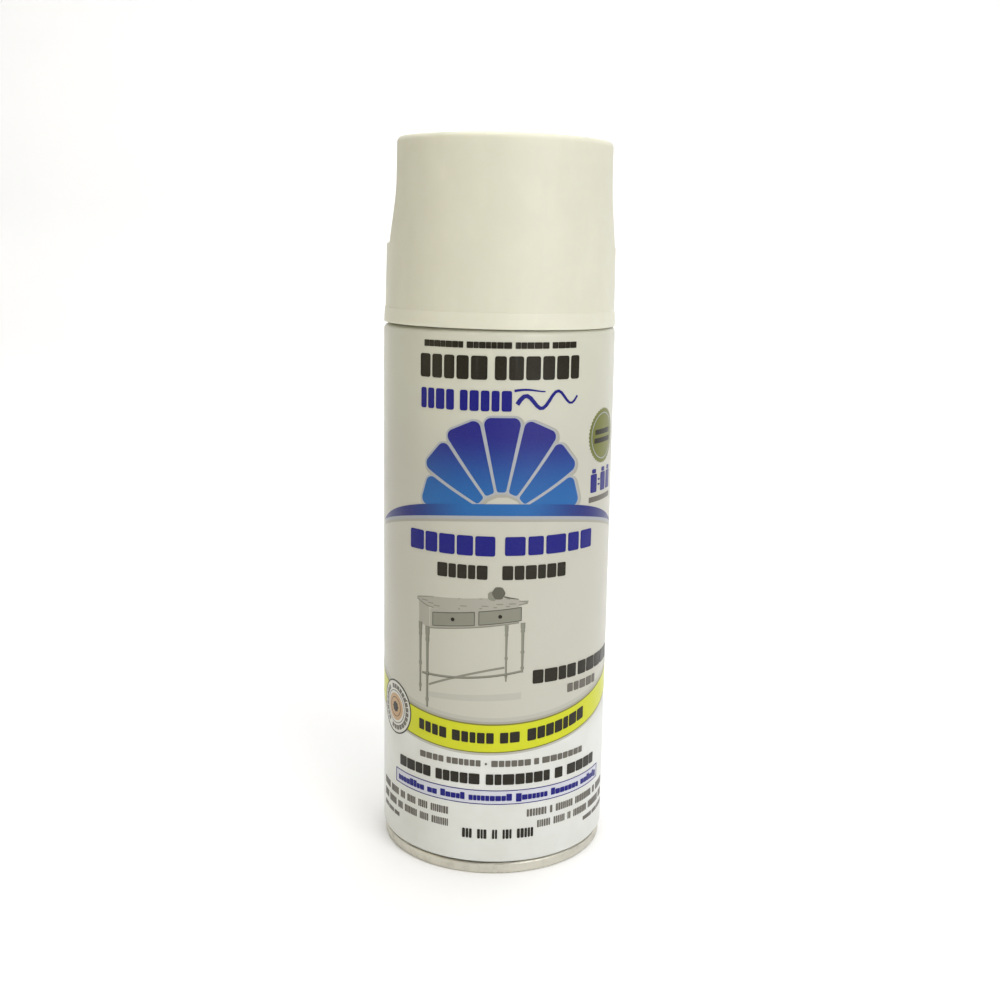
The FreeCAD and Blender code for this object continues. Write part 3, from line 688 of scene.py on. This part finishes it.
    # finish lines at the right
    dark.words(rng, 10.8, 46.5, 55.9, 59.8, [4, 5], gap=0.5, space=0.35)
    grey.words(rng, 22.2, 35.0, 51.6, 54.1, [5], gap=0.9)

    # ribbon
    span = [-52 + i * 1.1 for i in range(95)]
    mist.strip([(s, ribbon_high(s) - 0.1, ribbon_high(s) + 1.9) for s in span])
    pale.strip([(s, ribbon_high(s) - 0.1, ribbon_high(s) + 0.8) for s in span])
    mist.strip([(s, ribbon_low(s) - 0.8, ribbon_low(s) + 0.2) for s in span])
    yellow.strip([(s, ribbon_low(s), ribbon_high(s)) for s in span])
    edge = Print("print_ribbon_edge", ink("ink_ribbon_edge", pigment(132, 130, 58)), 0.065)
    edge.strip([(s, ribbon_high(s) - 0.28, ribbon_high(s) + 0.14) for s in span])
    edge.strip([(s, ribbon_low(s) - 0.14, ribbon_low(s) + 0.16) for s in span])

    def along(s):
        return (ribbon_low(s) + ribbon_high(s)) / 2 - 40.55

    dark.words(rng, -22.6, 7.4, 39.1, 42.2, [4, 5, 2], along, gap=0.7)
    dark.words(rng, 9.6, 29.0, 38.9, 42.4, [7], along, gap=0.45)

    # ring seal at the left
    spot = (-33.8, 43.4)
    white.blob(circle(*spot, 7.9, 96), spot, 5)
    dark.band(circle(*spot, 7.95, 96), circle(*spot, 7.55, 96))
    grey.band(circle(*spot, 4.9, 72), circle(*spot, 4.65, 72))
    for i in range(26):
        if i % 9 == 8:
            continue
        a = 2 * math.pi * (i + 0.5) / 26
        inner, outer, half = 5.45, 6.75, 0.62
        corners = []
        for r in (inner, outer):
            spread = [a + k * half / r for k in (-1, 0, 1)]
            corners.append([(spot[0] + r * math.cos(t), spot[1] + r * math.sin(t)) for t in spread])
        grey.film(corners)
    warm.blob(circle(*spot, 4.0, 56), spot, 3)
    dark.blob(circle(*spot, 1.5, 36, 0.15, 8), spot, 2)
    dark.band(circle(*spot, 2.9, 48), circle(*spot, 2.7, 48))

    # lower lines
    grey.words(rng, -22.2, -3.4, 32.2, 34.0, [4, 6], gap=0.8)
    grey.blob(circle(-1.9, 33.0, 0.35, 12), (-1.9, 33.0), 1)
    grey.words(rng, -0.4, 29.0, 32.2, 34.0, [6, 1, 7], gap=0.8)
    dark.words(rng, -31.0, 35.4, 26.9, 30.0, [4, 5, 7, 1, 4], gap=0.5)
    for z in (21.05, 25.05):
        navy.bar(-33.3, 38.8, z, z + 0.2, corner=0.05)
    for s in (-33.3, 38.6):
        navy.bar(s, s + 0.2, 21.15, 25.15, corner=0.05)
    lilac.bar(-33.0, 38.5, 21.3, 25.0)
    navy.words(rng, -31.8, 37.6, 22.15, 24.2, [8, 2, 5, 9, 7, 7, 6], lower=True)
    for s0, s1, z, tall, groups in (
        (-42.6, -12.7, 16.9, 2.2, [7, 6, 3, 5, 5, 8]),
        (-42.6, -12.7, 13.3, 2.2, [6, 7, 4, 8, 5, 9]),
        (-42.6, -31.6, 10.4, 1.2, [6, 7, 5]),
        (9.9, 44.5, 16.9, 2.2, [7, 1, 8, 10, 2, 7]),
        (13.1, 44.5, 13.2, 2.2, [6, 6, 2, 8, 9, 4]),
        (30.6, 45.5, 10.4, 1.2, [7, 6, 8]),
    ):
        grey.words(rng, s0, s1, z, z + tall, groups, gap=0.5)
    dark.words(rng, -8.4, 11.9, 10.8, 13.6, [3, 3, 2, 3, 5], gap=0.4)
    greys = [navy, dark, grey, pale, mist, stone, shadow]
    return greys + [blue, swoosh, silver, yellow, olive, white, warm, lilac, edge]


def label_back(rng, by_name):
    """The sides and back: columns of greeked small print, a colour chip, pictograms and a row of bars."""
    navy, dark, grey = by_name["print_navy"], by_name["print_dark"], by_name["print_grey"]
    pale, yellow, lilac = by_name["print_pale_grey"], by_name["print_yellow"], by_name["print_lilac"]

    def column(s0, s1, high, low, size=1.05, pitch=1.9, heading=True):
        z = high
        while z > low:
            if heading:
                end = s0 + (s1 - s0) * rng.uniform(0.45, 0.8)
                groups = [rng.randint(4, 8) for _ in range(2)]
                navy.words(rng, s0, end, z - 1.7, z, groups)
                z -= 3.2
            for _ in range(rng.randint(4, 7)):
                last = rng.uniform(0.4, 0.9) if rng.random() < 0.22 else 1.0
                count = max(1, round((s1 - s0) * last / 5.2))
                groups = [rng.randint(3, 8) for _ in range(count)]
                grey.words(rng, s0, s0 + (s1 - s0) * last, z - size, z, groups, lower=True, gap=0.4)
                z -= pitch
                if z < low:
                    break
            z -= 1.6

    column(55.0, 75.5, 146.0, 92.0)
    column(78.5, 99.5, 146.0, 108.0)
    column(-99.5, -78.5, 146.0, 74.0)
    column(-75.5, -55.0, 146.0, 92.0)
    column(55.0, 75.5, 84.0, 56.0)
    column(-75.5, -55.0, 84.0, 56.0)
    column(-99.5, -78.5, 34.0, 8.0, heading=False)
    column(55.0, 75.5, 34.0, 8.0, heading=False)

    chip = Print("print_chip", ink("ink_chip", pigment(226, 223, 206)), 0.05)
    for side in (-65.2, 65.2):
        navy.band(circle(side, 45.0, 7.0, 96), circle(side, 45.0, 6.3, 96))
        chip.blob(circle(side, 45.0, 6.1, 80), (side, 45.0), 5)
    yellow.bar(78.5, 99.5, 99.0, 104.5, corner=1.0)
    dark.words(rng, 80.5, 97.5, 100.6, 102.9, [5, 6])
    for i, s in enumerate((80.0, 87.2, 94.4)):
        navy.band(circle(s + 2.4, 91.0, 2.9, 56), circle(s + 2.4, 91.0, 2.45, 56))
        navy.blob(circle(s + 2.4, 90.7, 1.3, 28, 0.25, 2 + i), (s + 2.4, 90.7), 2)
        grey.words(rng, s, s + 4.8, 86.2, 87.0, [5])
    column(78.5, 99.5, 82.0, 40.0)
    s = 80.5
    while s < 97.5:  # a row of plain bars, with no number
        width = rng.choice((0.28, 0.28, 0.56, 0.84))
        dark.bar(s, s + width, 10.0, 26.0, corner=0.05)
        s += width + rng.choice((0.28, 0.56, 0.84))
    lilac.bar(-99.5, -78.5, 40.0, 66.0, corner=1.0)
    column(-98.0, -80.0, 63.5, 42.0)
    for s in (-49.5, 49.5):
        pale.bar(s - 0.1, s + 0.1, 58.0, 146.0, corner=0.05)
    return [chip]


def side_weld():
    """Bare strip down the back, where the sheet's edges overlap and are welded, with the weld's low ridge."""
    metal = tinplate("weld_metal", (0.52, 0.51, 0.48), 0.36, 0.8)
    strip = Print("side_weld", metal, 0.02)
    half = math.pi * BARREL
    low, high = 4.3, 151.2
    strip.strip([(half - 2.2 + 0.44 * i, low, high) for i in range(11)])
    rows = 150
    ridge = []
    for k in range(rows):
        z = low + (high - low) * k / (rows - 1)
        sway = 0.07 * math.sin(k * 1.9)
        ridge.append([(half - 0.35 + sway * (1 if j in (0, 3) else 0) + 0.23 * j, z) for j in range(4)])
    strip.lift = 0.075
    strip.film(ridge)
    return strip


# ---- the cap ------------------------------------------------------------------------------------
def soft_min(a, b, k):
    h = max(0.0, min(1.0, 0.5 + 0.5 * (b - a) / k))
    return b + (a - b) * h - k * h * (1 - h)


# (inset, height over the cap's foot) up the flared band round the foot
FOOT_BAND = ((0.4, -0.25), (0.16, -0.2), (0.05, -0.1), (0.0, 0.1))
FOOT_BAND += ((0.12, 2.0), (0.22, 3.75), (0.25, 3.9), (0.38, 3.96))
# (height over the ledge, share of the flat) across the grip's ledge
LEDGE_STEPS = ((-0.42, 0), (-0.2, 0.03), (-0.07, 0.12), (0.0, 0.3))
LEDGE_STEPS += ((0.03, 0.7), (0.1, 0.88), (0.26, 0.97), (0.5, 1.0))
# (radius, height over the crown) of the step and the gate mark on the cap's top
CROWN_STEP = ((26.45, 0.0), (26.2, -0.03), (26.0, -0.13), (25.75, -0.4), (25.55, -0.49), (25.2, -0.5))
CROWN_MIDDLE = ((20, -0.47), (13, -0.44), (6, -0.42), (1.5, -0.42), (1.35, -0.52), (0.8, -0.54), (0.5, -0.4))
GRIP_TURN = math.radians(2.8)
GRIP_LEDGE, GRIP_BEND = CAP_FOOT + 21.65, CAP_FOOT + 35.3
GRIP_REACH = (31.42, 29.45, 29.3)
CAP_WALL = 1.05
CROWN = TOTAL + 1.0  # top of the cap's skin, a little over its drawing height
CAP_TILT, CAP_LIFT = math.radians(0.45), 0.2  # pushed on by hand, so it stands a touch crooked


def grip_reach(z):
    """Distance of a grip flat from the axis: leaning in up to its bend, then nearly upright."""
    low, bend, top = GRIP_REACH
    lean = low + (bend - low) * (z - GRIP_LEDGE) / (GRIP_BEND - GRIP_LEDGE)
    upright = bend + (top - bend) * (z - GRIP_BEND) / (CROWN - GRIP_BEND)
    return -soft_min(-lean, -upright, 0.5)


def cap_rows(inset):
    """Rows of (radius of the round wall, distance of the flats or None, share of the flats, z), upwards."""
    high, low = 32.6 - 0.65 - inset, 32.6 - inset
    fillet = 1.8 - inset * 0.75
    ceiling = CROWN - (0.5 + CAP_WALL if inset else 0.0)

    def wall(z):
        return low + (high - low) * (z - CAP_FOOT - 5) / (CROWN - CAP_FOOT - 5)

    rows = []
    if inset:
        for z in (CAP_FOOT, CAP_FOOT + 0.9):
            rows.append((low, None, 0, z))
        bead = 31.36
        for r, z in ((low - 0.02, 0.95), (bead, 1.5), (bead, 1.8), (low, 2.35)):
            rows.append((r, None, 0, CAP_FOOT + z))
    else:
        band = low + 0.4  # a band round the foot, flared so that it catches the light
        for out, z in FOOT_BAND:
            rows.append((band - out, None, 0, CAP_FOOT + z))
        rows += [(low, None, 0, CAP_FOOT + 4.02), (low, None, 0, CAP_FOOT + 4.4)]
    ledge = GRIP_LEDGE - inset
    for i in range(7):
        z = CAP_FOOT + 6 + (ledge - 0.8 - CAP_FOOT - 6) * i / 6
        rows.append((wall(z), None, 0, z))
    for dz, share in LEDGE_STEPS:
        z = ledge + dz
        rows.append((wall(z), grip_reach(max(z, GRIP_LEDGE)) - inset, share, z))
    top = ceiling - fillet
    for i in range(1, 19):
        z = ledge + 0.5 + (top - ledge - 0.5) * i / 18
        rows.append((wall(z), grip_reach(z) - inset, 1.0, z))
    for i in range(1, 9):
        a = math.pi / 2 * i / 8
        shift, z = -fillet + fillet * math.cos(a), top + fillet * math.sin(a)
        rows.append((wall(top) + shift, grip_reach(top) - inset + shift, 1.0, z))
    return rows


def cap_surface(inset, turns):
    rows = []
    for wall, flat, share, z in cap_rows(inset):
        row = []
        for i in range(turns):
            a = 2 * math.pi * i / turns
            r = wall
            if flat is not None:
                facing = abs(math.cos(a - GRIP_TURN))
                if facing > 0.3:
                    r = wall + (soft_min(wall, flat / facing, 0.28) - wall) * share
            row.append((r * math.cos(a), r * math.sin(a), z))
        rows.append(row)
    return rows


def cap():
    """One moulding: shell with two grip flats, collar, webs and stop ribs, with a gate mark on its top."""
    turns = 288
    outside = cap_surface(0.0, turns)
    inside = cap_surface(CAP_WALL, turns)
    ceiling = CROWN - 0.5 - CAP_WALL
    rows = [ring(r, ceiling, turns) for r in (3, 9, 15, 21, 26)] + inside[::-1] + outside
    rows += [ring(r, CROWN + dz, turns) for r, dz in CROWN_STEP + CROWN_MIDDLE]
    verts = [v for row in rows for v in row] + [(0, 0, ceiling), (0, 0, CROWN - 0.38)]
    faces = grid_faces(len(rows), turns, loop_columns=True)
    last = (len(rows) - 1) * turns
    faces += [[c, (c + 1) % turns, len(verts) - 2] for c in range(turns)]
    faces += [[last + c, last + (c + 1) % turns, len(verts) - 1] for c in range(turns)]
    # the cap's foot band gets a painted highlight, a paler colour below this height
    plastic = moulded("cap_cream", (0.645, 0.636, 0.520), 0.40, soft=0.25, painted_highlight_below=CAP_FOOT + 4.2)
    shell = make("cap_shell", verts, faces, plastic, "cap", 40.0)
    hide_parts("overcap")

    inner = bpy.data.meshes.new("cap_inner")
    bm = bmesh.new()
    inner_r, middle_r, outer_r = 16.6, 17.15, 17.7  # of the collar
    low, high, count = CAP_FOOT + 15.6, ceiling + 0.4, 120
    start = (middle_r, low)
    corners = [(outer_r, low, 0.25), (outer_r, high), (inner_r, high), (inner_r, low, 0.25)]
    made = []
    for r, z in rounded([start, *corners, start])[:-1]:
        made.append([bm.verts.new([c * MM for c in point]) for point in ring(r, z, count)])
    for a, b in zip(made, made[1:] + made[:1]):
        for i in range(count):
            j = (i + 1) % count
            bm.faces.new((a[i], a[j], b[j], b[i]))

    def plate(x0, x1, thick, z0, z1, angle):
        """A thin moulded rib, drafted towards its foot."""
        spin = Matrix.Rotation(angle, 4, "Z")
        corners = []
        for z, half in ((z0, thick * 0.42), (z1, thick * 0.55)):
            for x, y in ((x0, -half), (x1, -half), (x1, half), (x0, half)):
                corners.append(bm.verts.new(spin @ (Vector((x, y, z)) * MM)))
        for f in ((0, 3, 2, 1), (4, 5, 6, 7), (0, 1, 5, 4), (1, 2, 6, 5), (2, 3, 7, 6), (3, 0, 4, 7)):
            bm.faces.new([corners[i] for i in f])

    for i in range(4):
        angle = GRIP_TURN + math.radians(45 + 90 * i)
        plate(17.4, 29.6, 1.0, ceiling - 12.8, ceiling + 0.3, angle)
        plate(30.0, 31.75, 1.0, 158.65, GRIP_LEDGE - 2.5, angle)
    bmesh.ops.recalc_face_normals(bm, faces=bm.faces)
    bm.to_mesh(inner)
    bm.free()
    tool = bpy.data.objects.new("cap_inner", inner)
    bpy.context.scene.collection.objects.link(tool)
    join = shell.modifiers.new("union", "BOOLEAN")
    join.operation, join.solver, join.object = "UNION", "EXACT", tool
    join.use_self = True
    bake_modifiers(shell)
    bpy.data.objects.remove(tool)
    foot = Matrix.Translation((0, 0, CAP_FOOT * MM))
    lean = Matrix.Rotation(CAP_TILT, 4, "Y")
    shell.data.transform(Matrix.Translation((0, 0, CAP_LIFT * MM)) @ foot @ lean @ foot.inverted())
    shell.data.set_sharp_from_angle(angle=math.radians(40))


def bake_modifiers(piece):
    graph = bpy.context.evaluated_depsgraph_get()
    mesh = bpy.data.meshes.new_from_object(piece.evaluated_get(graph))
    piece.modifiers.clear()
    piece.data = mesh


# ---- valve, button and inner parts --------------------------------------------------------------
def button():
    """The finger button, from its CAD shape, with every edge eased as on a real moulding."""
    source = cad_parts["actuator_button"]
    piece = bpy.data.objects.new("finger_button", source.data.copy())
    bpy.context.scene.collection.objects.link(piece)
    piece.data.materials.clear()
    remesh = piece.modifiers.new("remesh", "REMESH")
    remesh.mode, remesh.voxel_size = "VOXEL", 0.15 * MM
    ease = piece.modifiers.new("ease", "SMOOTH")
    ease.factor, ease.iterations = 0.5, 5
    bake_modifiers(piece)
    piece.data.materials.append(moulded("button_white", srgb(238, 236, 228), 0.38, soft=0.2))
    piece.data.shade_smooth()
    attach(piece, "actuator")
    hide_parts("actuator_button")


def spring():
    """Stainless return spring with closed end turns."""
    low, high = (c[2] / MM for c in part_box("valve_spring"))
    thick, coil, turns, sides, steps = 0.27, 2.05, 8.0, 12, 32
    count = int(turns * steps)
    rise = high - low - thick * 6.2
    verts, path = [], []
    for i in range(count + 1):
        t = i / count * turns
        ends = min(max((t - 0.9) / (turns - 1.8), 0.0), 1.0)
        closed = thick * 1.05 * (min(t, 0.9) / 0.9 + max(0.0, t - turns + 0.9) / 0.9)
        a = 2 * math.pi * t
        path.append(Vector((coil * math.cos(a), coil * math.sin(a), low + thick + closed + rise * ends)))
    for i, p in enumerate(path):
        along = (path[min(i + 1, count)] - path[max(i - 1, 0)]).normalized()
        out = Vector((p.x, p.y, 0)).normalized()
        up = along.cross(out).normalized()
        for k in range(sides):
            b = 2 * math.pi * k / sides
            verts.append(p + (out * math.cos(b) + up * math.sin(b)) * thick)
    faces = grid_faces(count + 1, sides, loop_columns=True)
    faces += [list(range(sides))[::-1], [count * sides + k for k in range(sides)]]
    steel = wire("spring_wire", (0.60, 0.60, 0.61))
    piece = make("return_spring", verts, faces, steel, "can", 40.0)
    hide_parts("valve_spring")
    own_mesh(piece)


def dress_cad_nodes():
    """Procedural materials for the CAD pieces that are shown as they are."""
    tin = tinplate("dome_tin")
    base = tinplate("base_tin", (0.66, 0.64, 0.56), 0.40, 0.45)
    looks = {
        "dome_top": tin,
        "mounting_cup": tinplate("cup_tin", (0.64, 0.62, 0.56), 0.28, 0.3),
        "bottom_end": base,
        "neck_seam_compound": rubber("compound_neck", (0.36, 0.30, 0.17)),
        "base_seam_compound": rubber("compound_base", (0.36, 0.30, 0.17)),
        "cup_gasket": rubber("gasket_grey", (0.14, 0.13, 0.12)),
        "stem_gasket": rubber("gasket_black", (0.02, 0.02, 0.02)),
        "valve_housing": moulded("housing_nylon", srgb(226, 222, 208), 0.45, soft=0.3),
        "check_seat_plug": moulded("plug_nylon", srgb(214, 212, 202), 0.45, soft=0.3),
        "valve_stem": moulded("stem_acetal", srgb(236, 234, 226), 0.32, soft=0.2),
        "dip_tube": moulded("tube_polyethylene", srgb(214, 218, 212), 0.30, soft=0.5),
        "nozzle_insert": moulded("insert_acetal", srgb(226, 214, 186), 0.34, soft=0.2),
        "check_ball": wire("ball_steel", (0.66, 0.66, 0.67), 0.1),
        "mixing_ball": glass("ball_glass", (0.55, 0.80, 0.68)),
        "paint_charge": liquid("paint_liquid", srgb(232, 229, 214)),
    }
    for name, material in looks.items():
        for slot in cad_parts[name].material_slots:
            slot.material = material


# ---- stage, light and camera --------------------------------------------------------------------
def stage():
    """A sheet of white paper that curves up behind the can, with a painted glow far behind it."""
    rows = [(-3.0, 0.0), (0.4, 0.0), (0.8, 0.0), (1.1, 0.06), (1.3, 0.22), (1.4, 0.5), (1.42, 2.4)]
    verts = []
    for y, z in rows:
        verts += [(-2.6, y, z), (2.6, y, z)]
    mesh = bpy.data.meshes.new("floor")
    mesh.from_pydata(verts, [], grid_faces(len(rows), 2))
    mesh.shade_smooth()
    look = Look("floor_paper", 0.75)
    cloud = look.ramp(look.noise(60.0, 3.0), 0.3, 0.7)
    look.color(look.mix(cloud, (0.915, 0.915, 0.915), (0.925, 0.925, 0.925)))
    look.bump(look.noise(1.0, 2.0), 0.02)
    # painted glow: from 0.3 m behind the can backwards the paper gives off a faint white light, which keeps
    # the backdrop white
    look.shader.inputs["Emission Color"].default_value = (1, 1, 1, 1)
    look.link(look.ramp(look.axis("Y"), 300, 1000, 0.0, 0.14), look.shader.inputs["Emission Strength"])
    mesh.materials.append(look.material)
    floor = bpy.data.objects.new("floor", mesh)
    bpy.context.scene.collection.objects.link(floor)


def softbox(name, place, size, power, color=(1, 1, 1), at=(0, 0, 0.1)):
    data = bpy.data.lights.new(name, "AREA")
    data.shape, data.size, data.size_y = "RECTANGLE", size[0], size[1]
    data.energy, data.color = power, color
    lamp = bpy.data.objects.new(name, data)
    lamp.location = place
    aim = Vector(at) - Vector(place)
    lamp.rotation_euler = aim.to_track_quat("-Z", "Y").to_euler()
    bpy.context.scene.collection.objects.link(lamp)


def lights():
    """A dim room with white behind the can, a key light at the right and a weak warm fill at the left."""
    world = bpy.data.worlds.new("studio")
    bpy.context.scene.world = world
    world.use_nodes = True
    tree = world.node_tree
    coords = tree.nodes.new("ShaderNodeTexCoord")
    parts = tree.nodes.new("ShaderNodeSeparateXYZ")
    behind = tree.nodes.new("ShaderNodeMapRange")
    behind.interpolation_type = "SMOOTHSTEP"
    for key, number in (("From Min", 0.6), ("From Max", 0.8), ("To Min", 0.12), ("To Max", 1.0)):
        behind.inputs[key].default_value = number
    tree.links.new(coords.outputs["Generated"], parts.inputs[0])
    tree.links.new(parts.outputs["Y"], behind.inputs["Value"])
    tree.links.new(behind.outputs[0], tree.nodes["Background"].inputs["Strength"])
    tree.nodes["Background"].inputs["Color"].default_value = (1, 1, 1, 1)
    softbox("key", (0.9, -1.2, 0.75), (0.9, 1.2), 14.4, (1.0, 0.985, 0.975))
    softbox("top", (0.1, 0.0, 1.6), (1.6, 1.6), 27.6)
    softbox("fill", (-1.3, -0.7, 0.5), (0.9, 1.2), 3.8, (1.0, 0.88, 0.58))
    for side, name in ((-0.53, "strip_left"), (0.43, "strip_right")):
        softbox(name, (side, -1.4, 0.3), (0.025, 0.9), 0.45)


def camera():
    """Just above the middle of the can, looking a little down at it."""
    pitch, roll, yaw = math.radians(9.91), 0.0158, 0.0022
    forward = Vector((math.sin(yaw) * math.cos(pitch), math.cos(yaw) * math.cos(pitch), -math.sin(pitch)))
    right = Vector((math.cos(yaw), -math.sin(yaw), 0))
    up = right.cross(forward)
    side = right * math.cos(roll) + up * math.sin(roll)
    head = up * math.cos(roll) - right * math.sin(roll)
    data = bpy.data.cameras.new("camera")
    data.sensor_width, data.lens = 36.0, 44.08
    data.shift_y = -0.0336
    data.clip_start = 0.01
    eye = bpy.data.objects.new("camera", data)
    turn = Matrix((side, head, -forward)).transposed().to_4x4()
    eye.matrix_world = Matrix.Translation((0, -0.3532, 0.1728)) @ turn
    bpy.context.scene.collection.objects.link(eye)
    bpy.context.scene.camera = eye


def main():
    rng = random.Random(7)
    barrel()
    prints = label_front(rng)
    prints += label_back(rng, {p.name: p for p in prints})
    prints.append(side_weld())
    for layer in prints:
        layer.done()
    cap()
    button()
    spring()
    dress_cad_nodes()
    stage()
    lights()
    camera()
    bpy.context.scene.view_settings.view_transform = "Standard"


main()
